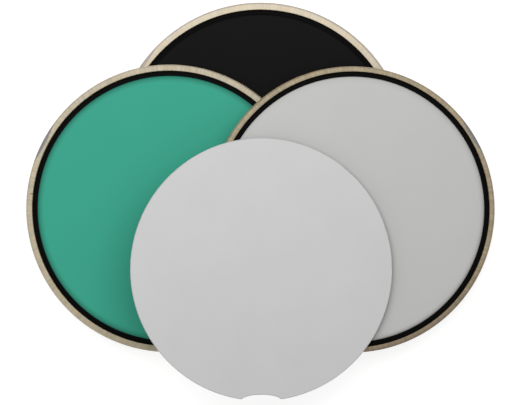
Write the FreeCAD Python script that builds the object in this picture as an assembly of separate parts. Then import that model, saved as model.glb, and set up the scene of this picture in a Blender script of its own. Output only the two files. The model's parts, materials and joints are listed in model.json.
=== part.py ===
import FreeCAD, Part
import math
import os

# A practice pad set: three hooped pads and one loose overlay disc, fanned over one another.
# Millimetres, +Z up. The origin is the centre of the black pad's underside, on the surface
# that it stands on. Every pad is built about its own axis, from its underside up, and is then
# set in its place in the fan.

# ---- Heights in a hooped pad, measured from its underside ----
MAT_TOP = 1.5
BOARD_TOP = 7.5
FOAM_TOP = 10.5
BACKING_TOP = 13.0
DISC_TOP = 16.5
HOOP_BOTTOM = 1.0
HOOP_TOP = 18.0

# ---- Radii in a hooped pad ----
MAT_RADIUS = 150.0
DISC_RADIUS = 152.4
HOOP_INNER_RADIUS = 158.5
BASE_DISC_RADIUS = 155.8
BASE_HOOP_INNER_RADIUS = 161.0
HOOP_WALL = 7.0
BASE_HOOP_WALL = 8.0
THIN_HOOP_WALL = 5.8
RABBET_DEPTH = 2.0
LAYER_GAP = 0.2

# ---- Edges ----
DISC_ROUND = 2.6
HOOP_OUTER_ROUND = 3.0
HOOP_INNER_CHAMFER = 0.6
HOOP_BOTTOM_CHAMFER = 0.6

# ---- Countersunk screws through the hoop into the board's edge ----
SCREW_COUNT = 8
SCREW_LENGTH = 16.0
SCREW_HEAD_RADIUS = 2.6
SCREW_SHANK_RADIUS = 1.4
SCREW_HEAD_DEPTH = 1.7
SCREW_TIP_LENGTH = 3.0
SCREW_SINK = 0.2
SCREW_CLEARANCE = 0.1
RECESS_WIDTH = 0.7
RECESS_SPAN = 2.8
RECESS_DEPTH = 1.1

# ---- The white overlay disc ----
SHEET_RADIUS = 150.8
SHEET_THICKNESS = 1.5
SHEET_ROUND = 0.4
UNDERLAY_RADIUS = 150.1
UNDERLAY_THICKNESS = 2.5
NOTCH_HALF_WIDTH = 23.5
NOTCH_DEPTH = 7.1
NOTCH_CORNER_ROUND = 1.0

# ---- The fan ----
REST_GAP = 0.3
GREEN_CENTRE = (-103.7, -67.9)
GRAY_CENTRE = (105.9, -69.0)
GRAY_CENTRE_HEIGHT = 28.28
LEAN_ANGLE = 10.19
LEAN_TOWARDS = -4.3
WHITE_CENTRE_ON_GRAY = (-105.3, -68.4)

CUT_MARGIN = 1.0
NEAR = 0.01
TINY = 1e-6
UP = FreeCAD.Vector(0, 0, 1)
ORIGIN = FreeCAD.Vector(0, 0, 0)


def round_edges(shape, radius, height):
    """The circular edges about the Z axis that have this radius and height."""
    found = []
    for edge in shape.Edges:
        circle = edge.Curve
        if isinstance(circle, Part.Circle) and abs(circle.Radius - radius) < TINY:
            if abs(circle.Center.z - height) < TINY:
                found.append(edge)
    return found


def layer(radius, bottom, top, top_round=0.0):
    """A round sheet about the Z axis, with its top edge rounded over if asked."""
    sheet = Part.makeCylinder(radius, top - bottom, FreeCAD.Vector(0, 0, bottom))
    if top_round:
        sheet = sheet.makeFillet(top_round, round_edges(sheet, radius, top))
    return sheet


def around(shape, count):
    """Copies of a shape, evenly spaced about the Z axis, half a step off the X axis."""
    copies = []
    for index in range(count):
        turned = shape.copy()
        turned.rotate(ORIGIN, UP, (index + 0.5) * 360.0 / count)
        copies.append(turned)
    return Part.makeCompound(copies)


def screw_body(outer_radius, clearance):
    """A countersunk screw that points at the Z axis, its head just under the hoop's face."""
    height = (MAT_TOP + BOARD_TOP) / 2
    head_face = outer_radius - SCREW_SINK
    inward = FreeCAD.Vector(-1, 0, 0)
    head_radius = SCREW_HEAD_RADIUS + clearance
    shank_radius = SCREW_SHANK_RADIUS + clearance
    head = Part.makeCone(head_radius, shank_radius, SCREW_HEAD_DEPTH,
                         FreeCAD.Vector(head_face, 0, height), inward)
    shank_start = head_face - SCREW_HEAD_DEPTH
    shank_length = SCREW_LENGTH - SCREW_HEAD_DEPTH - SCREW_TIP_LENGTH
    shank = Part.makeCylinder(shank_radius, shank_length,
                              FreeCAD.Vector(shank_start, 0, height), inward)
    tip_start = shank_start - shank_length
    tip = Part.makeCone(shank_radius, clearance, SCREW_TIP_LENGTH,
                        FreeCAD.Vector(tip_start, 0, height), inward)
    return head.fuse([shank, tip]).removeSplitter()


def cross_recess(outer_radius):
    """The two crossed slots of the driver recess in a screw's head."""
    height = (MAT_TOP + BOARD_TOP) / 2
    head_face = outer_radius - SCREW_SINK
    start = head_face - RECESS_DEPTH
    upright = Part.makeBox(RECESS_DEPTH, RECESS_WIDTH, RECESS_SPAN,
                           FreeCAD.Vector(start, -RECESS_WIDTH / 2, height - RECESS_SPAN / 2))
    level = Part.makeBox(RECESS_DEPTH, RECESS_SPAN, RECESS_WIDTH,
                         FreeCAD.Vector(start, -RECESS_SPAN / 2, height - RECESS_WIDTH / 2))
    return upright.fuse(level)


def screw_hole(outer_radius):
    """The room a screw needs: its own shape with clearance, open out through the hoop's face."""
    height = (MAT_TOP + BOARD_TOP) / 2
    body = screw_body(outer_radius, SCREW_CLEARANCE)
    mouth = Part.makeCylinder(SCREW_HEAD_RADIUS + SCREW_CLEARANCE, SCREW_HEAD_RADIUS,
                              FreeCAD.Vector(outer_radius - SCREW_SINK, 0, height),
                              FreeCAD.Vector(1, 0, 0))
    return body.fuse(mouth)


def hoop(inner_radius, outer_radius):
    """The bent maple hoop: rabbeted inside for the board, rounded outside, drilled for screws."""
    ring = layer(outer_radius, HOOP_BOTTOM, HOOP_TOP, HOOP_OUTER_ROUND)
    ring = ring.cut(layer(inner_radius, 0.0, HOOP_TOP + CUT_MARGIN))
    ring = ring.cut(layer(inner_radius + RABBET_DEPTH, 0.0, BOARD_TOP))
    ring = ring.makeChamfer(HOOP_INNER_CHAMFER, round_edges(ring, inner_radius, HOOP_TOP))
    ring = ring.makeChamfer(HOOP_BOTTOM_CHAMFER, round_edges(ring, outer_radius, HOOP_BOTTOM))
    return ring.cut(around(screw_hole(outer_radius), SCREW_COUNT))


def base_board(inner_radius, outer_radius):
    """The plywood disc that carries the layers, held in the hoop's rabbet, with pilot holes."""
    board = layer(inner_radius + RABBET_DEPTH - LAYER_GAP, MAT_TOP, BOARD_TOP)
    return board.cut(around(screw_hole(outer_radius), SCREW_COUNT))


def hoop_screws(outer_radius):
    """The ring of screws that hold the hoop to the board."""
    one_screw = screw_body(outer_radius, 0.0).cut(cross_recess(outer_radius))
    return around(one_screw, SCREW_COUNT)


def hooped_pad(disc_radius, inner_radius, wall):
    """Every piece of one hooped pad, standing on Z = 0."""
    outer_radius = inner_radius + wall
    lining_radius = inner_radius - LAYER_GAP
    return {
        "base_mat": layer(MAT_RADIUS, 0.0, MAT_TOP),
        "base_board": base_board(inner_radius, outer_radius),
        "damping_foam": layer(lining_radius, BOARD_TOP, FOAM_TOP),
        "rubber_backing": layer(lining_radius, FOAM_TOP, BACKING_TOP),
        "playing_disc": layer(disc_radius, BACKING_TOP, DISC_TOP, DISC_ROUND),
        "hoop": hoop(inner_radius, outer_radius),
        "hoop_screws": hoop_screws(outer_radius),
    }


def finger_notch():
    """The half ellipse that is cut through the overlay's edge on its -Y side."""
    rim = FreeCAD.Vector(0, -SHEET_RADIUS, -CUT_MARGIN)
    oval = Part.Ellipse(rim + FreeCAD.Vector(NOTCH_HALF_WIDTH, 0, 0),
                        rim + FreeCAD.Vector(0, NOTCH_DEPTH, 0), rim)
    face = Part.Face(Part.Wire([oval.toShape()]))
    return face.extrude(UP * (UNDERLAY_THICKNESS + SHEET_THICKNESS + 2 * CUT_MARGIN))


def notched(sheet):
    """A layer of the overlay with the finger notch cut in it and the notch's corners eased."""
    cut = sheet.cut(finger_notch())
    corners = []
    for edge in cut.Edges:
        lower, upper = edge.Vertexes[0].Point, edge.Vertexes[-1].Point
        upright = math.hypot(upper.x - lower.x, upper.y - lower.y) < NEAR
        if upright and abs(lower.x) < NOTCH_HALF_WIDTH and lower.y < 0:
            corners.append(edge)
    return cut.Solids[0].makeFillet(NOTCH_CORNER_ROUND, corners)


def overlay_disc():
    """The pieces of the loose overlay, lying on Z = 0: a hard sheet on a soft underlay."""
    sheet_top = UNDERLAY_THICKNESS + SHEET_THICKNESS
    sheet = notched(layer(SHEET_RADIUS, UNDERLAY_THICKNESS, sheet_top))
    rim = [edge for edge in sheet.Edges if abs(edge.BoundBox.ZMin - sheet_top) < NEAR]
    return {
        "underlay": notched(layer(UNDERLAY_RADIUS, 0.0, UNDERLAY_THICKNESS)),
        "playing_sheet": sheet.makeFillet(SHEET_ROUND, rim),
    }


def seats():
    """Where each item of the fan sits. The green pad lies flat on the black pad's hoop. The gray
    pad leans on the green pad's hoop, with its far edge just above the standing surface, and the
    white overlay lies on the gray pad's hoop."""
    towards = math.radians(LEAN_TOWARDS)
    lean_axis = FreeCAD.Vector(-math.sin(towards), math.cos(towards), 0)
    level = FreeCAD.Rotation()
    green_height = HOOP_TOP + REST_GAP
    gray = FreeCAD.Placement(FreeCAD.Vector(*GRAY_CENTRE, GRAY_CENTRE_HEIGHT),
                             FreeCAD.Rotation(lean_axis, LEAN_ANGLE))
    on_gray = FreeCAD.Placement(FreeCAD.Vector(*WHITE_CENTRE_ON_GRAY, HOOP_TOP + REST_GAP), level)
    return {
        "black": FreeCAD.Placement(ORIGIN, level),
        "green": FreeCAD.Placement(FreeCAD.Vector(*GREEN_CENTRE, green_height), level),
        "gray": gray,
        "white": gray.multiply(on_gray),
    }


def pieces():
    """Every item of the fan, as its own pieces."""
    return {
        "black": hooped_pad(BASE_DISC_RADIUS, BASE_HOOP_INNER_RADIUS, BASE_HOOP_WALL),
        "green": hooped_pad(DISC_RADIUS, HOOP_INNER_RADIUS, HOOP_WALL),
        "gray": hooped_pad(DISC_RADIUS, HOOP_INNER_RADIUS, THIN_HOOP_WALL),
        "white": overlay_disc(),
    }


def main():
    os.makedirs("parts", exist_ok=True)
    places = seats()
    for item, parts in pieces().items():
        for piece, shape in parts.items():
            seated = shape.copy()
            seated.Placement = places[item].multiply(shape.Placement)
            seated.exportStep(f"parts/{item}_{piece}.step")
            print(f"{item}_{piece}: {len(seated.Solids)} solid, {seated.Volume / 1000:.1f} cm3, "
                  f"valid {seated.isValid()}")
    gray_axis = places["gray"].Rotation.multVec(UP)
    print(f"gray pad's axis: {gray_axis.x:.6f}, {gray_axis.y:.6f}, {gray_axis.z:.6f}")


main()
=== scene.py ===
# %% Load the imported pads
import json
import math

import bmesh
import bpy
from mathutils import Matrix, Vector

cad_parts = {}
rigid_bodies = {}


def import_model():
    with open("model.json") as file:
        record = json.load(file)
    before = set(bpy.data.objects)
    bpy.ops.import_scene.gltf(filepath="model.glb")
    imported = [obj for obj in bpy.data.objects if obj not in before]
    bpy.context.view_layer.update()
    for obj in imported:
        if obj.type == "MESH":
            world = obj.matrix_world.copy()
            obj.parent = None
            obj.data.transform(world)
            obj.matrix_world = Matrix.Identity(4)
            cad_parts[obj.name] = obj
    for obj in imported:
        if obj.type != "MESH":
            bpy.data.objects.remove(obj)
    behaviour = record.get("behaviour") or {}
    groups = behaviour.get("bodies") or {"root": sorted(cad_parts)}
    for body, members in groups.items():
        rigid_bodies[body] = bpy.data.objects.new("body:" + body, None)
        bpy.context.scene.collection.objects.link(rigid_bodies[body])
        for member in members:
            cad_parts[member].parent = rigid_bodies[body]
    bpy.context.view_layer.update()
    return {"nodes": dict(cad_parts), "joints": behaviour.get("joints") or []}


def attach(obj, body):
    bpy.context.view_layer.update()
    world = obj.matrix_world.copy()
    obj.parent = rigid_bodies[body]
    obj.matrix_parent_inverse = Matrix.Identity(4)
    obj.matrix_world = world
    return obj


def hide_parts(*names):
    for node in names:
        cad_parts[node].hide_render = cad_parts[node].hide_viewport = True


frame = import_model()

# %% [markdown]
# # A fan of practice pads
# Drummers practise quietly on pads like these. Each hooped pad is a stack on a rubber mat: a plywood board,
# damping foam, a sheet of black rubber and a coloured disc of gum rubber, held together by a bent maple
# hoop. A loose white overlay lies on top. The sizes already exist in the CAD frame, so this lesson reads
# them from there. It makes the hoops, the soft layers and the overlay again with finer edges, and keeps the
# CAD boards and screws. Then it gives every piece its finish.

MM = 0.001
for stray in [thing for thing in bpy.data.objects if thing.name in ("Cube", "Light", "Camera")]:
    bpy.data.objects.remove(stray)
print("CAD nodes:", len(frame["nodes"]))

# %% [markdown]
# ## Where each pad sits
# The black and green pads lie level. The gray pad leans on the green one, and the overlay lies on the gray
# pad, so both are tilted. Their lift joints run square to their surfaces, which gives the tilt without any
# guessing. Every pad then has its own flat space: its axis is Z and its underside is at zero.

# %% Find the seats
PADS = ("black", "green", "gray")
LIFT_JOINT = {"green": "green_lift", "gray": "gray_lift", "white": "white_lift"}
LOWEST_NODE = {"black": "black_base_mat", "green": "green_base_mat", "gray": "gray_base_mat",
               "white": "white_underlay"}
lift_axes = {joint["name"]: Vector(joint["axis"]) for joint in frame["joints"]}


def points_in(node, into):
    """The corners of a CAD node's mesh, taken into another space by a matrix."""
    return [into @ vertex.co for vertex in frame["nodes"][node].data.vertices]


def seat_of(item):
    """The matrix that takes a pad's own flat space to the frame."""
    up = lift_axes.get(LIFT_JOINT.get(item), Vector((0, 0, 1))).normalized()
    turn = Vector((0, 0, 1)).rotation_difference(up).to_matrix()
    corners = points_in(LOWEST_NODE[item], turn.inverted())
    low_x, high_x = min(p.x for p in corners), max(p.x for p in corners)
    radius = (high_x - low_x) / 2
    foot = Vector(((low_x + high_x) / 2, max(p.y for p in corners) - radius, min(p.z for p in corners)))
    return Matrix.Translation(turn @ foot) @ turn.to_4x4()


seats = {item: seat_of(item) for item in (*PADS, "white")}


def size_of(node):
    """A round node's radius, bottom and top in its pad's own space."""
    corners = points_in(node, seats[node.split("_")[0]].inverted())
    radius = (max(p.x for p in corners) - min(p.x for p in corners)) / 2
    return radius, min(p.z for p in corners), max(p.z for p in corners)


for item, seat in seats.items():
    print(item, "seat, mm:", [round(v / MM, 2) for v in seat.translation])

# %% [markdown]
# ## The camera
# The pads are seen from almost straight above, so that every round piece stays round. The view leans a
# little to the right, because the level pads and the leaning pad face slightly different ways, and this
# angle splits the difference. A long lens far away keeps perspective out of it.

# %% Make the camera
CAMERA_LEAN = math.radians(5.2)
CAMERA_DISTANCE = 12.0
VIEW_WIDTH = 602.0 * MM
SENSOR_WIDTH = 36.0
CLIP_NEAR, CLIP_FAR = 1.0, 50.0
BLACK_CENTRE_IN_VIEW = Vector((-1.6 * MM, 61.15 * MM))

back = Vector((math.sin(CAMERA_LEAN), 0, math.cos(CAMERA_LEAN)))
across = Vector((math.cos(CAMERA_LEAN), 0, -math.sin(CAMERA_LEAN)))
upward = Vector((0, 1, 0))
black_top = seats["black"] @ Vector((0, 0, size_of("black_hoop")[2]))
target = black_top - across * BLACK_CENTRE_IN_VIEW.x - upward * BLACK_CENTRE_IN_VIEW.y

camera = bpy.data.objects.new("camera", bpy.data.cameras.new("camera"))
camera.data.sensor_width = SENSOR_WIDTH
camera.data.lens = SENSOR_WIDTH * CAMERA_DISTANCE / VIEW_WIDTH
camera.data.clip_start, camera.data.clip_end = CLIP_NEAR, CLIP_FAR
camera.matrix_world = Matrix.Translation(target + back * CAMERA_DISTANCE) @ Matrix(
    (across, upward, back)).transposed().to_4x4()
bpy.context.scene.collection.objects.link(camera)
bpy.context.scene.camera = camera
print("lens, mm:", round(camera.data.lens))

# %% [markdown]
# ## Colours and nodes
# Colours are written as sRGB hex values, as a paint card gives them, and the shader needs them linear. A
# material is a small tree of nodes. One helper adds a node, sets it and links it, so that each material
# reads as a list of what it does.

# %% Turn a colour linear
def linear(hex_colour):
    """An sRGB hex colour as the linear red, green, blue and alpha that a shader reads."""
    values = [int(hex_colour[i:i + 2], 16) / 255 for i in (1, 3, 5)]
    return (*[v / 12.92 if v <= 0.04045 else ((v + 0.055) / 1.055) ** 2.4 for v in values], 1.0)


print("mid grey #808080, linear:", round(linear("#808080")[0], 3))


# %% Add a node
def set_stops(colour_ramp, stops):
    """Gives a colour ramp its (position, hex colour) stops."""
    elements = colour_ramp.elements
    elements[0].position, elements[0].color = stops[0][0], linear(stops[0][1])
    elements[1].position, elements[1].color = stops[-1][0], linear(stops[-1][1])
    for position, colour in stops[1:-1]:
        elements.new(position).color = linear(colour)


def add(tree, kind, settings=None, inputs=None):
    """Adds a node, sets its properties or its ramp's stops, and fills or links its inputs."""
    node = tree.nodes.new("ShaderNode" + kind)
    for key, value in (settings or {}).items():
        if key == "stops":
            set_stops(node.color_ramp, value)
        else:
            setattr(node, key, value)
    for key, value in (inputs or {}).items():
        if isinstance(value, bpy.types.NodeSocket):
            tree.links.new(value, node.inputs[key])
        else:
            node.inputs[key].default_value = value
    return node


# %% Start a material
def empty_tree(owner):
    """The node tree of a material or a world, switched on and emptied."""
    owner.use_nodes = True
    owner.node_tree.nodes.clear()
    return owner.node_tree


def new_material(name):
    """A material with only its output and a Principled shader, and its tree."""
    material = bpy.data.materials.new(name)
    tree = empty_tree(material)
    shader = add(tree, "BsdfPrincipled")
    add(tree, "OutputMaterial", inputs={"Surface": shader.outputs["BSDF"]})
    return material, tree, shader


def pad_millimetres(tree, item):
    """Object coordinates in a pad's own flat space, in millimetres."""
    seat = seats[item]
    place = add(tree, "TexCoord").outputs["Object"]
    return add(tree, "Mapping", {"vector_type": "TEXTURE"}, {
        "Vector": place, "Location": seat.translation, "Rotation": seat.to_euler(),
        "Scale": (MM, MM, MM)}).outputs["Vector"]


# %% [markdown]
# ## Lacquered maple
# The hoop is one thick strip of hard maple, steamed, bent round a form and closed with a long slanted scarf
# joint, then rounded over, sanded and sprayed with satin lacquer. Its grain runs round the hoop. So the
# pattern is drawn in unrolled coordinates: the distance round the hoop, the height and the radius. The
# unrolled coordinate has one seam, and the inner end of the scarf sits there, where the real grain also
# breaks.

# %% Measure the hoops
HOOP_MEAN_RADIUS_MM = 162.0
HALF_TURN_MM = math.pi * HOOP_MEAN_RADIUS_MM
ROUNDED_EDGE_MM = 3.0
hoop_outside_mm = {pad: size_of(f"{pad}_hoop")[0] / MM for pad in PADS}
hoop_top_mm = size_of("black_hoop")[2] / MM
print("hoop radius, mm:", {pad: round(radius, 1) for pad, radius in hoop_outside_mm.items()})
print("hoop top, mm:", round(hoop_top_mm, 1))


# %% Find places round a hoop
def from_centre(tree, item):
    """A hoop point's level offset from the pad's centre, its radius and its height, in mm."""
    flat = add(tree, "SeparateXYZ", inputs={"Vector": pad_millimetres(tree, item)}).outputs
    level = add(tree, "CombineXYZ", inputs={"X": flat["X"], "Y": flat["Y"]}).outputs["Vector"]
    radius = add(tree, "VectorMath", {"operation": "LENGTH"}, {0: level}).outputs["Value"]
    return level, radius, flat["Z"]


def round_from(tree, level, seam_degrees):
    """The distance round the hoop in mm, from half a turn before the seam to half a turn after."""
    turned = add(tree, "VectorRotate", {"rotation_type": "Z_AXIS"},
                 {"Vector": level, "Angle": math.pi - math.radians(seam_degrees)}).outputs["Vector"]
    parts = add(tree, "SeparateXYZ", inputs={"Vector": turned}).outputs
    angle = add(tree, "Math", {"operation": "ARCTAN2"}, {0: parts["Y"], 1: parts["X"]}).outputs[0]
    return add(tree, "Math", {"operation": "MULTIPLY"}, {0: angle, 1: HOOP_MEAN_RADIUS_MM}).outputs[0]


def stretch_round(tree, level, radius, middle, near, far):
    """1 on the stretch of hoop within near degrees of the middle, fading to 0 at far degrees."""
    way = (math.cos(math.radians(middle)), math.sin(math.radians(middle)), 0)
    reach = add(tree, "VectorMath", {"operation": "DOT_PRODUCT"}, {0: level, 1: way}).outputs["Value"]
    cosine = add(tree, "Math", {"operation": "DIVIDE"}, {0: reach, 1: radius}).outputs[0]
    return add(tree, "MapRange", {"interpolation_type": "SMOOTHSTEP"}, {
        "Value": cosine, "From Min": math.cos(math.radians(far)),
        "From Max": math.cos(math.radians(near))}).outputs[0]


def fibres(tree, along, height, radius, length, width, detail):
    """Wood fibres of this length and width in mm, stretched along the hoop."""
    place = add(tree, "CombineXYZ", inputs={"X": along, "Y": height, "Z": radius}).outputs["Vector"]
    stretched = add(tree, "VectorMath", {"operation": "MULTIPLY"}, {
        0: place, 1: (1 / length, 1 / width, 1 / width)}).outputs[0]
    return add(tree, "TexNoise", inputs={"Vector": stretched, "Scale": 1.0, "Detail": detail}).outputs["Fac"]


# %% [markdown]
# ### The scarf
# The scarf is the one place where a bent hoop shows how it was made. Both ends of the strip are planed to a
# long wedge and glued one over the other, so each end shows as one short dark glue line: one on the inner
# half of the top, and one down the outside, a hand's breadth further round. A slim greyer sliver is drawn
# on the top along the outer wedge, where it gets paper thin. The glue lines are drawn about a millimetre
# wide, where real ones are hair thin, so that they show at all.

# %% Draw the glue lines
GLUE_LINE_MM = 1.1
INNER_LINE_FROM_MM = 4.5
INNER_LINE_FADE_MM = 1.0
OUTER_LINE_STRENGTH = 0.7
OUTSIDE_SKIN_MM = 0.5
WEDGE_START_MM = 32.0
WEDGE_LENGTH_MM = 58.0
WEDGE_TIP_MM = HALF_TURN_MM - WEDGE_START_MM - WEDGE_LENGTH_MM


def inner_glue_line(tree, along, depth):
    """1 on the glue line at the seam, on the hoop's inner half."""
    off_seam = add(tree, "Math", {"operation": "ABSOLUTE"}, {0: along}).outputs[0]
    near = add(tree, "MapRange", inputs={
        "Value": off_seam, "From Min": HALF_TURN_MM - GLUE_LINE_MM, "From Max": HALF_TURN_MM}).outputs[0]
    inside = add(tree, "MapRange", inputs={
        "Value": depth, "From Min": INNER_LINE_FROM_MM - INNER_LINE_FADE_MM,
        "From Max": INNER_LINE_FROM_MM}).outputs[0]
    return add(tree, "Math", {"operation": "MULTIPLY"}, {0: near, 1: inside}).outputs[0]


def outer_glue_line(tree, along, depth):
    """The strength of the glue line down the outside, where the outer wedge ends."""
    off = add(tree, "Math", {"operation": "SUBTRACT"}, {0: along, 1: WEDGE_TIP_MM}).outputs[0]
    far = add(tree, "Math", {"operation": "ABSOLUTE"}, {0: off}).outputs[0]
    near = add(tree, "MapRange", inputs={
        "Value": far, "From Min": GLUE_LINE_MM / 2, "From Max": 0.0, "To Max": OUTER_LINE_STRENGTH}).outputs[0]
    outside = add(tree, "MapRange", inputs={
        "Value": depth, "From Min": 2 * OUTSIDE_SKIN_MM, "From Max": OUTSIDE_SKIN_MM}).outputs[0]
    return add(tree, "Math", {"operation": "MULTIPLY"}, {0: near, 1: outside}).outputs[0]


print("from one glue line to the other, mm:", WEDGE_START_MM + WEDGE_LENGTH_MM)

# %% Draw the wedge
WEDGE_WIDTH_MM = 4.6
WEDGE_FADE_MM = 0.8


def outer_wedge(tree, along, depth, height):
    """1 on the slim sliver of the outer wedge, on the top of the hoop."""
    share = add(tree, "MapRange", inputs={
        "Value": along, "From Min": WEDGE_TIP_MM, "From Max": WEDGE_TIP_MM + WEDGE_LENGTH_MM,
        "To Max": math.pi}).outputs[0]
    swell = add(tree, "Math", {"operation": "SINE"}, {0: share}).outputs[0]
    width = add(tree, "Math", {"operation": "MULTIPLY"}, {0: swell, 1: WEDGE_WIDTH_MM}).outputs[0]
    into = add(tree, "Math", {"operation": "SUBTRACT"}, {0: width, 1: depth}).outputs[0]
    sliver = add(tree, "MapRange", inputs={"Value": into, "From Min": 0.0, "From Max": WEDGE_FADE_MM}).outputs[0]
    on_top = add(tree, "MapRange", inputs={
        "Value": height, "From Min": hoop_top_mm - ROUNDED_EDGE_MM,
        "From Max": hoop_top_mm - ROUNDED_EDGE_MM / 2}).outputs[0]
    return add(tree, "Math", {"operation": "MULTIPLY"}, {0: sliver, 1: on_top}).outputs[0]


print("wedge, mm:", WEDGE_LENGTH_MM, "long and", WEDGE_WIDTH_MM, "wide")

# %% [markdown]
# ### The edge shade
# The rounded outer edge is painted a duller, greyer colour than the top: painted shade where it turns away from
# the light.

# %% Draw the outer edge
# Shade is painted on the rounded outer edge: fully within the first depth from its outside, and not at all past
# the second.
EDGE_SHADE_FULLY_MM = 0.2 * ROUNDED_EDGE_MM
EDGE_SHADE_AT_ALL_MM = 0.8 * ROUNDED_EDGE_MM
print("worn edge, mm deep:", round(EDGE_SHADE_FULLY_MM, 1), "fully and", round(EDGE_SHADE_AT_ALL_MM, 1), "at all")


def outer_edge(tree, depth, height):
    """1 where shade is painted on the rounded outer edge, fading to 0 on the top and halfway down the side."""
    on_top = add(tree, "MapRange", {"interpolation_type": "SMOOTHSTEP"}, {
        "Value": depth, "From Min": EDGE_SHADE_AT_ALL_MM, "From Max": EDGE_SHADE_FULLY_MM}).outputs[0]
    on_side = add(tree, "MapRange", {"interpolation_type": "SMOOTHSTEP"}, {
        "Value": height, "From Min": hoop_top_mm - 3 * ROUNDED_EDGE_MM,
        "From Max": hoop_top_mm - ROUNDED_EDGE_MM}).outputs[0]
    return add(tree, "Math", {"operation": "MULTIPLY"}, {0: on_top, 1: on_side}).outputs[0]


# %% [markdown]
# ### Grain, flecks and curl
# Maple is pale with a soft figure, so the three tones of each hoop are close together. Short dark flecks
# are scattered in it. They are drawn about twice as wide as real ones, so that they show at all.
#
# A light curl lies over it: ripples in the fibres that run across the strip, a few millimetres apart, and
# catch the light differently. They show most on the green and the gray pads' hoops. Patches of warmer and
# cooler wood, about a fingertip wide, keep the strip from looking dyed.

# %% Draw the grain
GRAIN_LENGTH_MM = 60.0
GRAIN_WIDTH_MM = 1.1
FIGURE_LENGTH_MM = 16.0
TONE_PLACES = (0.32, 0.5, 0.68)
print("grain, mm:", GRAIN_LENGTH_MM, "long and", GRAIN_WIDTH_MM, "wide")


def grained(tree, along, height, radius, tones):
    """The colour of the wood in the three tones of one hoop, and the grain that it follows."""
    grain = fibres(tree, along, height, radius, GRAIN_LENGTH_MM, GRAIN_WIDTH_MM, 4.0)
    figure = fibres(tree, along, height, radius, FIGURE_LENGTH_MM, FIGURE_LENGTH_MM, 2.0)
    blend = add(tree, "Mix", {"data_type": "FLOAT"}, {"Factor": 0.5, 2: grain, 3: figure}).outputs[0]
    stops = list(zip(TONE_PLACES, tones))
    return add(tree, "ValToRGB", {"stops": stops}, {"Fac": blend}).outputs["Color"], grain


# %% Scatter the flecks
FLECK_LENGTH_MM = 5.0
FLECK_WIDTH_MM = 0.5
FLECK_FROM, FLECK_FULL = 0.66, 0.78
FLECK_STRENGTH = 0.35
print("flecks, mm:", FLECK_LENGTH_MM, "long and", FLECK_WIDTH_MM, "wide")


def flecked(tree, along, height, radius):
    """The strength of the short dark flecks."""
    spots = fibres(tree, along, height, radius, FLECK_LENGTH_MM, FLECK_WIDTH_MM, 1.0)
    return add(tree, "MapRange", inputs={
        "Value": spots, "From Min": FLECK_FROM, "From Max": FLECK_FULL, "To Max": FLECK_STRENGTH}).outputs[0]


# %% Ripple the wood
# Noise textures mostly give values between these two.
NOISE_LOW, NOISE_HIGH = 0.3, 0.7
CURL_SPACING_MM = 2.2
CURL_REACH_MM = 14.0
PATCH_MM = 9.0
PATCH_COOL, PATCH_WARM = 0.35, 0.65
WARM_WOOD = "#FFFAF2"
COOL_WOOD = "#F8FBFF"
print("curl, mm:", CURL_SPACING_MM, "apart and", CURL_REACH_MM, "across")


def rippled(tree, along, height, radius, curl):
    """A colour to multiply wood by: ripples of this strength across the strip, and warm and cool patches."""
    ripple = add(tree, "MapRange", inputs={
        "Value": fibres(tree, along, height, radius, CURL_SPACING_MM, CURL_REACH_MM, 1.0),
        "From Min": NOISE_LOW, "From Max": NOISE_HIGH, "To Min": 1 - curl, "To Max": 1 + curl}).outputs[0]
    patch = add(tree, "MapRange", inputs={
        "Value": fibres(tree, along, height, radius, PATCH_MM, PATCH_MM, 1.0),
        "From Min": PATCH_COOL, "From Max": PATCH_WARM}).outputs[0]
    tint = add(tree, "Mix", {"data_type": "RGBA"}, {
        "Factor": patch, 6: linear(COOL_WOOD), 7: linear(WARM_WOOD)}).outputs[2]
    return add(tree, "VectorMath", {"operation": "SCALE"}, {0: tint, "Scale": ripple}).outputs[0]


# %% [markdown]
# ### The three hoops
# Each hoop has its own three tones, which make its grain. They are painted lighter on the black pad's hoop
# and darker on the gray pad's, as painted light and shade on one maple. "edge" is the colour of the painted
# shade on its rounded outer edge and "edge_shade_strength" how strongly it shows. "painted_side_shade" is
# the tint of painted shade on the side of the hoop towards -Y, and it is white on the black pad's hoop,
# which gets none. "scarf" is where the inner end of the scarf lies, in degrees from +X, "wedge" is the
# colour of the sliver, and "curl" is the strength of the ripples.

# %% Choose the hoop tones
# The three hoops are one maple: the black pad's tones are painted lighter and the gray pad's darker, as painted
# light and shade.
MAPLE = {
    "black": {"tones": ("#CDBFA5", "#D4C7AE", "#DACEB5"), "edge": "#ACA39B", "edge_shade_strength": 0.9,
              "painted_side_shade": "#FFFFFF", "scarf": 165, "wedge": "#ACA39B", "curl": 0.05},
    "green": {"tones": ("#B1A58C", "#B8AC93", "#BFB49B"), "edge": "#97908A", "edge_shade_strength": 0.15,
              "painted_side_shade": "#EEECE4", "scarf": 174, "wedge": "#7B7776", "curl": 0.12},
    "gray": {"tones": ("#8F8164", "#9A8B6D", "#A49576"), "edge": "#7C6E60", "edge_shade_strength": 0.2,
             "painted_side_shade": "#D8D0CD", "scarf": 53, "wedge": "#72706E", "curl": 0.18},
}
FLECK_BROWN = "#54432F"
# Painted shade: the side of each hoop towards -Y is tinted darker, fully within NEAR degrees of MIDDLE and not
# at all past FAR.
SHADED_SIDE_MIDDLE, SHADED_SIDE_NEAR, SHADED_SIDE_FAR = -90, 30, 90
print("scarf places, degrees:", {pad: board["scarf"] for pad, board in MAPLE.items()})

# %% Lacquer the wood
LACQUER_ROUGHNESS = (0.38, 0.52)
LACQUER_COAT = 0.3
LACQUER_COAT_ROUGHNESS = 0.25
GRAIN_RELIEF_MM = 0.05
GRAIN_BUMP = 0.15
print("lacquer roughness:", LACQUER_ROUGHNESS)


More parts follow.
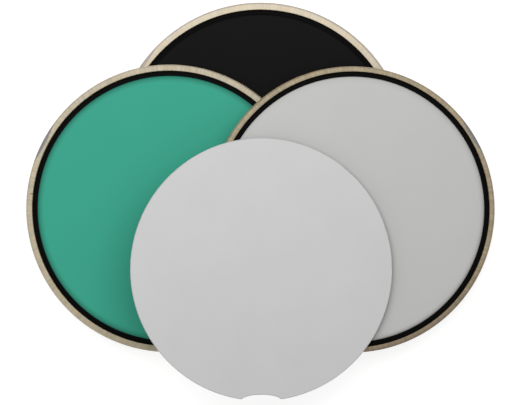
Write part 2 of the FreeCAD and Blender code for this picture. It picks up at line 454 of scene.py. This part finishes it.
def lacquer(tree, shader, grain):
    """Satin lacquer: it lets the grain through a little, in gloss and in relief."""
    rough = add(tree, "MapRange", inputs={
        "Value": grain, "To Min": LACQUER_ROUGHNESS[0], "To Max": LACQUER_ROUGHNESS[1]}).outputs[0]
    tree.links.new(rough, shader.inputs["Roughness"])
    bump = add(tree, "Bump", inputs={
        "Height": grain, "Strength": GRAIN_BUMP, "Distance": GRAIN_RELIEF_MM * MM})
    tree.links.new(bump.outputs["Normal"], shader.inputs["Normal"])
    shader.inputs["Coat Weight"].default_value = LACQUER_COAT
    shader.inputs["Coat Roughness"].default_value = LACQUER_COAT_ROUGHNESS


# %% Make the maple
def lacquered_maple(item, tones, edge, edge_shade_strength, painted_side_shade, scarf, wedge, curl):
    """Maple for one hoop, from its values in MAPLE."""
    material, tree, shader = new_material(f"lacquered_maple_{item}")
    level, radius, height = from_centre(tree, item)
    along = round_from(tree, level, scarf)
    depth = add(tree, "Math", {"operation": "SUBTRACT"}, {0: hoop_outside_mm[item], 1: radius}).outputs[0]
    colour, grain = grained(tree, along, height, radius, tones)
    glue = add(tree, "Math", {"operation": "MAXIMUM"}, {
        0: inner_glue_line(tree, along, depth), 1: outer_glue_line(tree, along, depth)}).outputs[0]
    marks = add(tree, "Math", {"operation": "MAXIMUM"}, {
        0: flecked(tree, along, height, radius), 1: glue}).outputs[0]
    # Painted shade on the rounded outer edge, in the colour "edge".
    painted_shade = add(tree, "Math", {"operation": "MULTIPLY"}, {0: outer_edge(tree, depth, height), 1: edge_shade_strength}).outputs[0]
    sliver = outer_wedge(tree, along, depth, height)
    for factor, over in ((marks, FLECK_BROWN), (painted_shade, edge), (sliver, wedge)):
        colour = add(tree, "Mix", {"data_type": "RGBA"}, {
            "Factor": factor, 6: colour, 7: linear(over)}).outputs[2]
    # Painted shade: the hoop's colour darkens on its side towards -Y.
    shaded_side = stretch_round(tree, level, radius, SHADED_SIDE_MIDDLE, SHADED_SIDE_NEAR, SHADED_SIDE_FAR)
    tint = add(tree, "Mix", {"data_type": "RGBA"}, {
        "Factor": shaded_side, 6: (1, 1, 1, 1), 7: linear(painted_side_shade)}).outputs[2]
    for shade in (tint, rippled(tree, along, height, radius, curl)):
        colour = add(tree, "VectorMath", {"operation": "MULTIPLY"}, {0: colour, 1: shade}).outputs[0]
    tree.links.new(colour, shader.inputs["Base Color"])
    lacquer(tree, shader, grain)
    return material


maple = {pad: lacquered_maple(pad, **MAPLE[pad]) for pad in PADS}
print("maple finishes:", len(maple))

# %% [markdown]
# ## Gum rubber, sheet rubber and foam
# The playing discs are moulded gum rubber: a matte skin with a faint orange-peel texture and slightly
# uneven colour. Their rims are painted darker, as painted shade where the rim rolls away from the light.
# Black sheet rubber is smoother. Foam shows its cells only up close. All of them are the same kind of
# shader with different cell sizes, so one function makes them.

# %% Darken a rim
# Shade is painted on each playing disc's rim, fading out over this width.
RIM_SHADE_MM = 8.0


def unshaded_share(tree, item, painted_rim_shade):
    """1 over a playing disc's face, falling smoothly to painted_rim_shade at its rim, as painted shade."""
    radius_mm = size_of(f"{item}_playing_disc")[0] / MM
    inward = add(tree, "Math", {"operation": "SUBTRACT"}, {
        0: radius_mm, 1: from_centre(tree, item)[1]}).outputs[0]
    return add(tree, "MapRange", {"interpolation_type": "SMOOTHSTEP"}, {
        "Value": inward, "From Max": RIM_SHADE_MM, "To Min": painted_rim_shade}).outputs[0]


print("shaded rim, mm wide:", RIM_SHADE_MM)

# %% Draw a rubber
CLOUD_MM = 38.0
SPECK_MM = 0.9
SPECK_SHARE = 0.4
PEEL_MM = 6.0
CELL_BUMP = 0.5
ROUGHNESS_SPREAD = 0.06


def rubber(name, item, colour, roughness, cell_mm, cell_depth_mm, specular=0.2, mottle=0.015, painted_rim_shade=1.0):
    """A matte elastomer: mottled colour, a rim that may be darkened by painted shade, and a fine cell texture as
    bump.
    """
    material, tree, shader = new_material(name)
    place = pad_millimetres(tree, item)
    cloud = add(tree, "TexNoise", inputs={"Vector": place, "Scale": 1 / CLOUD_MM, "Detail": 3.0})
    speck = add(tree, "TexNoise", inputs={"Vector": place, "Scale": 1 / SPECK_MM, "Detail": 2.0})
    both = add(tree, "Mix", {"data_type": "FLOAT"}, {
        "Factor": SPECK_SHARE, 2: cloud.outputs["Fac"], 3: speck.outputs["Fac"]}).outputs[0]
    shade = add(tree, "MapRange", inputs={
        "Value": both, "From Min": NOISE_LOW, "From Max": NOISE_HIGH,
        "To Min": 1 - mottle, "To Max": 1 + mottle}).outputs[0]
    # Painted shade: the colour darkens towards the disc's rim.
    if painted_rim_shade < 1:
        shade = add(tree, "Math", {"operation": "MULTIPLY"}, {
            0: shade, 1: unshaded_share(tree, item, painted_rim_shade)}).outputs[0]
    tinted = add(tree, "VectorMath", {"operation": "SCALE"}, {
        0: linear(colour)[:3], "Scale": shade}).outputs[0]
    tree.links.new(tinted, shader.inputs["Base Color"])
    cells = add(tree, "TexVoronoi", {"feature": "SMOOTH_F1"}, {"Vector": place, "Scale": 1 / cell_mm})
    peel = add(tree, "TexNoise", inputs={"Vector": place, "Scale": 1 / PEEL_MM, "Detail": 2.0})
    relief = add(tree, "Mix", {"data_type": "FLOAT"}, {
        "Factor": 0.5, 2: cells.outputs["Distance"], 3: peel.outputs["Fac"]}).outputs[0]
    bump = add(tree, "Bump", inputs={"Height": relief, "Strength": CELL_BUMP, "Distance": cell_depth_mm * MM})
    tree.links.new(bump.outputs["Normal"], shader.inputs["Normal"])
    rough = add(tree, "MapRange", inputs={
        "Value": speck.outputs["Fac"], "To Min": roughness - ROUGHNESS_SPREAD,
        "To Max": roughness + ROUGHNESS_SPREAD}).outputs[0]
    tree.links.new(rough, shader.inputs["Roughness"])
    shader.inputs["Specular IOR Level"].default_value = specular
    return material


# %% Make the rubbers and foams
GUM_SKIN = {"roughness": 0.6, "cell_mm": 0.8, "cell_depth_mm": 0.05}
# painted_rim_shade is how much colour the painted shade leaves at each disc's rim.
GUM = {
    "black": {"colour": "#0B0B0B", "specular": 0.06, "painted_rim_shade": 0.9},
    "green": {"colour": "#35A188", "specular": 0.2, "painted_rim_shade": 0.58},
    "gray": {"colour": "#C3C3C1", "specular": 0.2, "painted_rim_shade": 0.9},
}
SHEET_RUBBER = {"colour": "#060606", "roughness": 0.5, "cell_mm": 1.2, "cell_depth_mm": 0.04, "specular": 0.03}
MAT_RUBBER = {"colour": "#1A1A1B", "roughness": 0.75, "cell_mm": 1.5, "cell_depth_mm": 0.25}
DAMPING_FOAM = {"colour": "#4A4B4E", "roughness": 0.85, "cell_mm": 0.8, "cell_depth_mm": 0.3}
UNDERLAY_FOAM = {"colour": "#5A5A5C", "roughness": 0.8, "cell_mm": 0.7, "cell_depth_mm": 0.2}

gum = {pad: rubber(f"moulded_gum_rubber_{pad}", pad, **GUM_SKIN, **GUM[pad]) for pad in PADS}
sheet_rubber = {pad: rubber(f"black_sheet_rubber_{pad}", pad, **SHEET_RUBBER) for pad in PADS}
mat_rubber = {pad: rubber(f"textured_rubber_mat_{pad}", pad, **MAT_RUBBER) for pad in PADS}
damping_foam = {pad: rubber(f"closed_cell_foam_{pad}", pad, **DAMPING_FOAM) for pad in PADS}
underlay_foam = rubber("sponge_rubber_white", "white", **UNDERLAY_FOAM)
print("rubbers and foams:", sum(map(len, (gum, sheet_rubber, mat_rubber, damping_foam))) + 1)

# %% [markdown]
# ## Laminate, plywood and steel
# The overlay's playing sheet is a hard white laminate with a fine satin texture. The board is birch plywood
# with a rotary-cut face. The screws are zinc plated steel.

# %% Make the laminate
LAMINATE_TONES = ("#CACACA", "#CDCDCD")
LAMINATE_CLOUD_MM = 60.0
LAMINATE_TEXTURE_MM = 0.5
LAMINATE_RELIEF_MM = 0.03
LAMINATE_BUMP = 0.3
LAMINATE_ROUGHNESS = (0.4, 0.55)
LAMINATE_SPECULAR = 0.4


def satin_laminate():
    """Hard white laminate, pressed against a finely textured plate."""
    material, tree, shader = new_material("satin_white_laminate")
    place = pad_millimetres(tree, "white")
    cloud = add(tree, "TexNoise", inputs={"Vector": place, "Scale": 1 / LAMINATE_CLOUD_MM, "Detail": 3.0})
    colour = add(tree, "ValToRGB", {"stops": list(zip((NOISE_LOW, NOISE_HIGH), LAMINATE_TONES))},
                 {"Fac": cloud.outputs["Fac"]})
    tree.links.new(colour.outputs["Color"], shader.inputs["Base Color"])
    texture = add(tree, "TexNoise", inputs={"Vector": place, "Scale": 1 / LAMINATE_TEXTURE_MM, "Detail": 2.0})
    bump = add(tree, "Bump", inputs={
        "Height": texture.outputs["Fac"], "Strength": LAMINATE_BUMP, "Distance": LAMINATE_RELIEF_MM * MM})
    tree.links.new(bump.outputs["Normal"], shader.inputs["Normal"])
    rough = add(tree, "MapRange", inputs={
        "Value": texture.outputs["Fac"], "To Min": LAMINATE_ROUGHNESS[0], "To Max": LAMINATE_ROUGHNESS[1]})
    tree.links.new(rough.outputs[0], shader.inputs["Roughness"])
    shader.inputs["Specular IOR Level"].default_value = LAMINATE_SPECULAR
    return material


laminate = satin_laminate()
print("laminate texture, mm:", LAMINATE_TEXTURE_MM)

# %% Make the plywood
BIRCH_TONES = ("#B58E5E", "#CDAA7A", "#DDC095")
BIRCH_BAND_MM = (90.0, 7.0, 1.4)
BIRCH_WAVE = 0.6
BIRCH_RELIEF_MM = 0.1
BIRCH_BUMP = 0.2
BIRCH_ROUGHNESS = 0.6


def birch_plywood(item):
    """Birch face veneer: a pale wood whose grain runs along X in wide wavy bands."""
    material, tree, shader = new_material(f"birch_plywood_{item}")
    place = pad_millimetres(tree, item)
    stretched = add(tree, "VectorMath", {"operation": "MULTIPLY"}, {
        0: place, 1: [1 / size for size in BIRCH_BAND_MM]}).outputs[0]
    bands = add(tree, "TexNoise", inputs={
        "Vector": stretched, "Scale": 1.0, "Detail": 4.0, "Distortion": BIRCH_WAVE})
    colour = add(tree, "ValToRGB", {"stops": list(zip((NOISE_LOW, 0.5, NOISE_HIGH), BIRCH_TONES))},
                 {"Fac": bands.outputs["Fac"]})
    tree.links.new(colour.outputs["Color"], shader.inputs["Base Color"])
    bump = add(tree, "Bump", inputs={
        "Height": bands.outputs["Fac"], "Strength": BIRCH_BUMP, "Distance": BIRCH_RELIEF_MM * MM})
    tree.links.new(bump.outputs["Normal"], shader.inputs["Normal"])
    shader.inputs["Roughness"].default_value = BIRCH_ROUGHNESS
    return material


plywood = {pad: birch_plywood(pad) for pad in PADS}
print("plywood bands, mm:", BIRCH_BAND_MM)

# %% Make the zinc plate
ZINC_TONES = ("#B4B3AC", "#CFCEC8")
ZINC_CLOUD_MM = 1.2
ZINC_ROUGHNESS = (0.25, 0.42)


def zinc_plate(item):
    """Zinc plated steel screws, slightly cloudy."""
    material, tree, shader = new_material(f"zinc_plated_steel_{item}")
    place = pad_millimetres(tree, item)
    cloud = add(tree, "TexNoise", inputs={"Vector": place, "Scale": 1 / ZINC_CLOUD_MM, "Detail": 3.0})
    colour = add(tree, "ValToRGB", {"stops": list(zip((NOISE_LOW, NOISE_HIGH), ZINC_TONES))},
                 {"Fac": cloud.outputs["Fac"]})
    tree.links.new(colour.outputs["Color"], shader.inputs["Base Color"])
    rough = add(tree, "MapRange", inputs={
        "Value": cloud.outputs["Fac"], "To Min": ZINC_ROUGHNESS[0], "To Max": ZINC_ROUGHNESS[1]})
    tree.links.new(rough.outputs[0], shader.inputs["Roughness"])
    shader.inputs["Metallic"].default_value = 1.0
    return material


zinc = {pad: zinc_plate(pad) for pad in PADS}
print("materials:", len(bpy.data.materials))

# %% [markdown]
# ## Turned layers
# A soft round layer is turned from its half profile, like clay on a wheel: a line of points from the axis
# out to the rim and back is spun once round. Rims are quarter ellipses, so a rim can be wider than it is
# tall. A few points across a flat face keep its triangles from being long and thin.

# %% Turn a shape
TURN_STEPS = 256
RIM_STEPS = 8
WELD = 0.001 * MM


def rim(radius, top, wide, tall):
    """Points of a rounded upper rim, from the side face up and inwards to the top face."""
    points = []
    for step in range(RIM_STEPS + 1):
        angle = math.pi / 2 * step / RIM_STEPS
        points.append((radius - wide + wide * math.cos(angle), top - tall + tall * math.sin(angle)))
    return points


def spun(profile, closed=False):
    """A bmesh turned from a half profile about the Z axis."""
    mesh = bmesh.new()
    corners = [mesh.verts.new((radius, 0, height)) for radius, height in profile]
    lines = [mesh.edges.new(pair) for pair in zip(corners, corners[1:])]
    if closed:
        lines.append(mesh.edges.new((corners[-1], corners[0])))
    bmesh.ops.spin(mesh, geom=[*corners, *lines], cent=(0, 0, 0), axis=(0, 0, 1),
                   angle=2 * math.pi, steps=TURN_STEPS, use_merge=True)
    bmesh.ops.remove_doubles(mesh, verts=mesh.verts, dist=WELD)
    bmesh.ops.recalc_face_normals(mesh, faces=mesh.faces)
    return mesh


print("steps round a turned piece:", TURN_STEPS)

# %% Seat a piece
BODY = {"black": "black_pad", "green": "green_pad", "gray": "gray_pad", "white": "white_overlay"}
SHARP_ANGLE = math.radians(35)


def as_object(name, mesh):
    """A new object that holds a bmesh."""
    data = bpy.data.meshes.new(name)
    mesh.to_mesh(data)
    mesh.free()
    thing = bpy.data.objects.new(name, data)
    bpy.context.scene.collection.objects.link(thing)
    return thing


def seated(name, item, mesh, material, replaced):
    """Turns a bmesh from a pad's own space into a finished piece, with its material and body, and hides the CAD
    nodes that it replaces.
    """
    bmesh.ops.transform(mesh, matrix=seats[item], verts=mesh.verts)
    piece = as_object(name, mesh)
    piece.data.shade_smooth()
    piece.data.set_sharp_from_angle(angle=SHARP_ANGLE)
    piece.data.materials.append(material)
    body = BODY[item]
    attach(piece, body)
    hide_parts(*replaced)
    return piece


print("bodies:", BODY)

# %% [markdown]
# ## The hoops
# The hoop's section is a tall rectangle with a generous round on its outer top edge, a small one inside,
# and a rabbet at the bottom that the board sits in. It is turned like the other layers. The eight
# countersunk seats of the screws are then cut out of it with a Boolean, because a turned shape has no
# holes.

# %% Cut one shape out of another
CUT_WELD = 0.005 * MM


def cut_away(blank, cutter):
    """The blank's bmesh with the cutter's bmesh taken out of it."""
    blank, cutter = as_object("blank", blank), as_object("cutter", cutter)
    cut = blank.modifiers.new("cut", "BOOLEAN")
    cut.operation, cut.solver, cut.object = "DIFFERENCE", "EXACT", cutter
    mesh = bmesh.new()
    mesh.from_object(blank, bpy.context.evaluated_depsgraph_get())
    for helper in (blank, cutter):
        bpy.data.objects.remove(helper)
    bmesh.ops.remove_doubles(mesh, verts=mesh.verts, dist=CUT_WELD)
    return mesh


# %% Draw the hoop's section
RABBET_DEPTH = 2.0 * MM
RABBET_TOP = 7.5 * MM
HOOP_INNER_ROUND = 0.6 * MM
INNER_ROUND_STEPS = 3
HOOP_FOOT_CHAMFER = 0.6 * MM
SUPPORT = 0.4 * MM


def hoop_section(inner, outer, bottom, top):
    """The hoop's section, anticlockwise from the foot of its rabbet."""
    round_over = ROUNDED_EDGE_MM * MM
    turns = [math.pi / 2 * step / INNER_ROUND_STEPS for step in range(INNER_ROUND_STEPS + 1)]
    inside = [(inner + HOOP_INNER_ROUND * (1 - math.sin(turn)), top - HOOP_INNER_ROUND * (1 - math.cos(turn)))
              for turn in turns]
    return [(inner + RABBET_DEPTH, bottom), (outer - HOOP_FOOT_CHAMFER, bottom),
            (outer, bottom + HOOP_FOOT_CHAMFER), (outer, top - round_over - SUPPORT),
            *rim(outer, top, round_over, round_over), (outer - round_over - SUPPORT, top),
            (inner + HOOP_INNER_ROUND + SUPPORT, top), *inside, (inner, top - HOOP_INNER_ROUND - SUPPORT),
            (inner, RABBET_TOP), (inner + RABBET_DEPTH, RABBET_TOP)]


print("rabbet, mm:", round(RABBET_DEPTH / MM, 1), "deep, up to", round(RABBET_TOP / MM, 1))

# %% Shape the screw seats
SCREWS = 8
SCREW_HEIGHT = 4.5 * MM
SEAT_BOTTOM_RADIUS = 1.5 * MM
SEAT_MOUTH_RADIUS = 3.2 * MM
SEAT_DEPTH = 1.9 * MM
SEAT_PROUD = 0.5 * MM
SEAT_STEPS = 40


def screw_seats(outer):
    """Eight cones that open out through the hoop's face, half a step off the X axis."""
    mesh = bmesh.new()
    lying = Matrix.Rotation(math.pi / 2, 4, "Y")
    middle = Matrix.Translation((outer + (SEAT_PROUD - SEAT_DEPTH) / 2, 0, SCREW_HEIGHT))
    for index in range(SCREWS):
        turn = Matrix.Rotation((index + 0.5) * 2 * math.pi / SCREWS, 4, "Z")
        bmesh.ops.create_cone(mesh, cap_ends=True, segments=SEAT_STEPS, radius1=SEAT_BOTTOM_RADIUS,
                              radius2=SEAT_MOUTH_RADIUS, depth=SEAT_PROUD + SEAT_DEPTH,
                              matrix=turn @ middle @ lying)
    return mesh


print("screw seats:", SCREWS, "round each hoop")


# %% Make the hoops
def maple_hoop(pad):
    """One bent hoop with its screw seats."""
    node = f"{pad}_hoop"
    outer, bottom, top = size_of(node)
    inner = min(point.xy.length for point in points_in(node, seats[pad].inverted()))
    mesh = cut_away(spun(hoop_section(inner, outer, bottom, top), closed=True), screw_seats(outer))
    return seated(f"{pad}_maple_hoop", pad, mesh, maple[pad], [node])


hoops = {pad: maple_hoop(pad) for pad in PADS}
print("hoop faces:", {pad: len(piece.data.polygons) for pad, piece in hoops.items()})

# %% [markdown]
# ## The playing discs
# A moulded disc has a soft, wide rim, because rubber can't hold a sharp edge.

# %% Make the playing discs
DISC_RIM_WIDE = 5.0 * MM
DISC_RIM_TALL = 2.6 * MM
DISC_FOOT_WIDE = 0.6 * MM
DISC_FOOT_TALL = 0.4 * MM
DISC_FACE_RINGS = (0.9, 0.75, 0.5, 0.25, 0.0)


def playing_disc(pad):
    """The coloured disc that the sticks strike."""
    node = f"{pad}_playing_disc"
    radius, bottom, top = size_of(node)
    profile = [(0, bottom), (radius - DISC_FOOT_WIDE, bottom), (radius, bottom + DISC_FOOT_TALL)]
    profile += rim(radius, top, DISC_RIM_WIDE, DISC_RIM_TALL)
    profile += [(radius * share, top) for share in DISC_FACE_RINGS]
    return seated(f"{pad}_gum_disc", pad, spun(profile), gum[pad], [node])


discs = {pad: playing_disc(pad) for pad in PADS}
print("disc faces:", {pad: len(piece.data.polygons) for pad, piece in discs.items()})

# %% [markdown]
# ## Backing, foam and mat
# The black sheet fills the hoop and shows as the dark ring. The foam under it bulges a little at its edge,
# where it is squeezed. The mat under the board has a rounded lower edge, where it meets the table.

# %% Shape the backing sheet
BACKING_ROUND = 0.5 * MM
BACKING_FACE_RINGS = (0.97, 0.8, 0.4, 0.0)


def backing(pad):
    """The black rubber sheet whose margin is the dark ring round the disc."""
    node = f"{pad}_rubber_backing"
    radius, bottom, top = size_of(node)
    profile = [(0, bottom), (radius, bottom), *rim(radius, top, BACKING_ROUND, BACKING_ROUND)]
    profile += [(radius * share, top) for share in BACKING_FACE_RINGS]
    return seated(f"{pad}_backing_sheet", pad, spun(profile), sheet_rubber[pad], [node])


# %% Shape the foam
FOAM_BULGE = 0.5 * MM
BULGE_STEPS = 6


def foam(pad):
    """The damping layer, squeezed between the board and the backing."""
    node = f"{pad}_damping_foam"
    radius, bottom, top = size_of(node)
    waist = radius - FOAM_BULGE
    profile = [(0, bottom), (waist, bottom)]
    profile += [(waist + FOAM_BULGE * math.sin(math.pi * step / BULGE_STEPS),
                 bottom + (top - bottom) * step / BULGE_STEPS) for step in range(1, BULGE_STEPS)]
    profile += [(waist, top), (0, top)]
    piece = seated(f"{pad}_foam_layer", pad, spun(profile), damping_foam[pad], [node])
    return piece


# %% Shape the mat
MAT_ROUND = 0.4 * MM


def mat(pad):
    """The non-slip mat that the pad stands on."""
    node = f"{pad}_base_mat"
    radius, bottom, top = size_of(node)
    profile = [(0, bottom), (radius - MAT_ROUND, bottom), (radius - MAT_ROUND / 4, bottom + MAT_ROUND / 4),
               (radius, bottom + MAT_ROUND), (radius, top), (0, top)]
    return seated(f"{pad}_non_slip_mat", pad, spun(profile), mat_rubber[pad], [node])


# %% Make the hidden and half-hidden layers
layers = [shape(pad) for pad in PADS for shape in (backing, foam, mat)]
print("layer faces:", {piece.name: len(piece.data.polygons) for piece in layers})

# %% [markdown]
# ## The overlay
# The overlay is a hard laminate sheet on a thin foam underlay, stamped out together, with a shallow
# half-oval notch for a fingertip. Each layer starts as a filled circle that is extruded, the notch is cut
# with a Boolean, and the cut edges are bevelled. The flat faces are inset first, so that the soft shading
# of the bevel stays at the rim.

# %% Cut out a notched disc
NOTCH_HALF_WIDTH = 23.5 * MM
NOTCH_DEPTH = 7.1 * MM
CUTTER_MARGIN = 1.0 * MM


def extruded_oval(mesh, half_width, half_depth, bottom, top):
    """A filled ellipse on the XY plane, extruded from bottom to top."""
    flat = Matrix.Diagonal((half_width, half_depth, 1, 1))
    circle = bmesh.ops.create_circle(mesh, cap_ends=True, segments=TURN_STEPS, radius=1.0,
                                     matrix=Matrix.Translation((0, 0, bottom)) @ flat)
    faces = list({face for corner in circle["verts"] for face in corner.link_faces})
    raised = bmesh.ops.extrude_face_region(mesh, geom=faces)["geom"]
    corners = [item for item in raised if isinstance(item, bmesh.types.BMVert)]
    bmesh.ops.translate(mesh, verts=corners, vec=(0, 0, top - bottom))
    bmesh.ops.recalc_face_normals(mesh, faces=mesh.faces)


def notched_disc(radius, bottom, top):
    """A bmesh of one layer of the overlay with the finger notch cut through its -Y edge."""
    blank, cutter = bmesh.new(), bmesh.new()
    extruded_oval(blank, radius, radius, bottom, top)
    extruded_oval(cutter, NOTCH_HALF_WIDTH, NOTCH_DEPTH, bottom - CUTTER_MARGIN, top + CUTTER_MARGIN)
    bmesh.ops.translate(cutter, verts=cutter.verts, vec=(0, -size_of("white_playing_sheet")[0], 0))
    return cut_away(blank, cutter)


print("notch, mm:", round(2 * NOTCH_HALF_WIDTH / MM, 1), "wide and", round(NOTCH_DEPTH / MM, 1), "deep")

# %% Find the notch's corners
UPRIGHT_SLACK = 0.01 * MM
CORNER_ANGLE = math.radians(20)
CORNER_ROOM = 1.6 * MM


def is_upright(edge):
    """True on an edge of the side that runs from the lower to the upper face."""
    return (edge.verts[0].co - edge.verts[1].co).xy.length < UPRIGHT_SLACK


def notch_corners(mesh):
    """The two upright edges where the notch meets the rim, with the short facets beside them dissolved."""
    upright = [edge for edge in mesh.edges if is_upright(edge)]
    corners = [edge for edge in upright if edge.calc_face_angle() > CORNER_ANGLE]
    places = [edge.verts[0].co.xy for edge in corners]
    beside = [edge for edge in upright if edge not in corners
              and min((edge.verts[0].co.xy - place).length for place in places) < CORNER_ROOM]
    bmesh.ops.dissolve_edges(mesh, edges=beside, use_verts=True)
    return corners


# %% Make the overlay
RIM_ANGLE = math.radians(60)
FLAT_INSET = 0.3 * MM
NOTCH_CORNER = 1.0 * MM
CORNER_STEPS = 4
SHEET_ROUND = 0.6 * MM
UNDERLAY_ROUND = 0.5 * MM
ROUND_STEPS = 3


def is_rim(edge):
    """True on an edge between a flat face and the side."""
    return edge.calc_face_angle() > RIM_ANGLE


def bevelled(mesh, edges, width, steps):
    """Rounds these edges of a bmesh."""
    bmesh.ops.bevel(mesh, geom=edges, offset=width, segments=steps, profile=0.5, affect="EDGES", material=-1)


def overlay_layer(name, node, material, rim_round):
    """One layer of the overlay, with its notch's corners eased and its rims rounded."""
    mesh = notched_disc(*size_of(node))
    bevelled(mesh, notch_corners(mesh), NOTCH_CORNER, CORNER_STEPS)
    flats = [face for face in mesh.faces if len(face.verts) > TURN_STEPS / 2]
    bmesh.ops.inset_individual(mesh, faces=flats, thickness=FLAT_INSET)
    bevelled(mesh, [edge for edge in mesh.edges if is_rim(edge)], rim_round, ROUND_STEPS)
    bmesh.ops.triangulate(mesh, faces=[face for face in mesh.faces if len(face.verts) > 4])
    bmesh.ops.recalc_face_normals(mesh, faces=mesh.faces)
    return seated(name, "white", mesh, material, [node])


sheet = overlay_layer("white_laminate_sheet", "white_playing_sheet", laminate, SHEET_ROUND)
underlay = overlay_layer("white_foam_underlay", "white_underlay", underlay_foam, UNDERLAY_ROUND)
print("overlay faces:", len(sheet.data.polygons), len(underlay.data.polygons))

# %% [markdown]
# ## Boards and screws
# The boards and the screws are already right in the CAD model: the boards are flat and mostly hidden, and
# the screws are too small to need finer edges. So they only get their finishes.

# %% Finish the CAD nodes that stay
for pad in PADS:
    for node, material in ((f"{pad}_base_board", plywood[pad]), (f"{pad}_hoop_screws", zinc[pad])):
        frame["nodes"][node].material_slots[0].material = material
print("CAD nodes finished:", 2 * len(PADS))

# %% [markdown]
# ## Floor and light
# A real studio table would be lit by big diffusing panels. Two area lamps stand in for them here: a wide
# key high over the far side of the pads, and a weaker fill low on the near left, which keeps the shadow
# under the overlay soft. The white surrounding adds even light from everywhere. A single small lamp was the
# other choice, but it draws hard shadows that hide the thin gaps between the pads.
#
# The floor and the surrounding look whiter than the light they give, because only rays from the eye, a
# mirror or a glass see them at full strength. That keeps the background white without washing out the pale
# discs, and the floor still shows the shadow of the pads. It lies a hair below the black pad's mat: two
# faces in one plane fight over which is seen, and that shows as streaks from underneath.

# %% Make the surrounding
AMBIENT = 0.39


def seen_directly(tree):
    """1 for rays from the camera, a mirror or a glass, and 0 for the light that falls on things."""
    path = add(tree, "LightPath")
    first = add(tree, "Math", {"operation": "MAXIMUM"}, {
        0: path.outputs["Is Camera Ray"], 1: path.outputs["Is Glossy Ray"]}).outputs[0]
    return add(tree, "Math", {"operation": "MAXIMUM"}, {
        0: first, 1: path.outputs["Is Transmission Ray"]}).outputs[0]


def surround():
    """A white surrounding that lights the pads more gently than it looks."""
    world = bpy.data.worlds.new("studio")
    bpy.context.scene.world = world
    tree = empty_tree(world)
    light = add(tree, "Background", inputs={"Color": (1, 1, 1, 1), "Strength": AMBIENT})
    white = add(tree, "Background", inputs={"Color": (1, 1, 1, 1), "Strength": 1.0})
    mixed = add(tree, "MixShader", inputs={
        0: seen_directly(tree), 1: light.outputs[0], 2: white.outputs[0]})
    add(tree, "OutputWorld", inputs={"Surface": mixed.outputs[0]})


surround()
print("even light:", AMBIENT)

# %% Lay the floor
FLOOR_SIZE = 20.0
FLOOR_DROP_MM = 0.2
FLOOR_PAINT = "#B4B4B4"
FLOOR_GLOW = 0.78


def floor():
    """A white floor that keeps a pale shadow of the pads."""
    mesh = bmesh.new()
    bmesh.ops.create_grid(mesh, x_segments=2, y_segments=2, size=FLOOR_SIZE / 2)
    bmesh.ops.translate(mesh, verts=mesh.verts, vec=(0, 0, -FLOOR_DROP_MM * MM))
    ground = as_object("floor", mesh)
    material = bpy.data.materials.new("white_floor")
    tree = empty_tree(material)
    paint = add(tree, "BsdfDiffuse", inputs={"Color": linear(FLOOR_PAINT)})
    share = add(tree, "Math", {"operation": "MULTIPLY"}, {0: seen_directly(tree), 1: FLOOR_GLOW}).outputs[0]
    glow = add(tree, "Emission", inputs={"Color": (1, 1, 1, 1), "Strength": share})
    both = add(tree, "AddShader", inputs={0: paint.outputs[0], 1: glow.outputs[0]})
    add(tree, "OutputMaterial", inputs={"Surface": both.outputs[0]})
    ground.data.materials.append(material)


floor()
print("floor, m across:", FLOOR_SIZE)

# %% Hang the lamps
# The lamps are given as name, place in metres, size in metres and power in watts.
LAMPS = [("key", (0.0, 0.4, 1.0), (1.6, 0.9), 9.4), ("fill", (-0.9, -0.9, 0.5), (0.9, 0.6), 3.0)]


def soft_light(name, place, size, power):
    """One large soft light, aimed at the middle of the pads."""
    lamp = bpy.data.lights.new(name, "AREA")
    lamp.shape = "RECTANGLE"
    lamp.size, lamp.size_y = size
    lamp.energy = power
    light = bpy.data.objects.new(name, lamp)
    light.location = place
    light.rotation_euler = (target - Vector(place)).to_track_quat("-Z", "Y").to_euler()
    light.visible_camera = False
    bpy.context.scene.collection.objects.link(light)


for lamp in LAMPS:
    soft_light(*lamp)
bpy.context.scene.view_settings.view_transform = "Standard"
print("lamps:", [name for name, *_ in LAMPS])
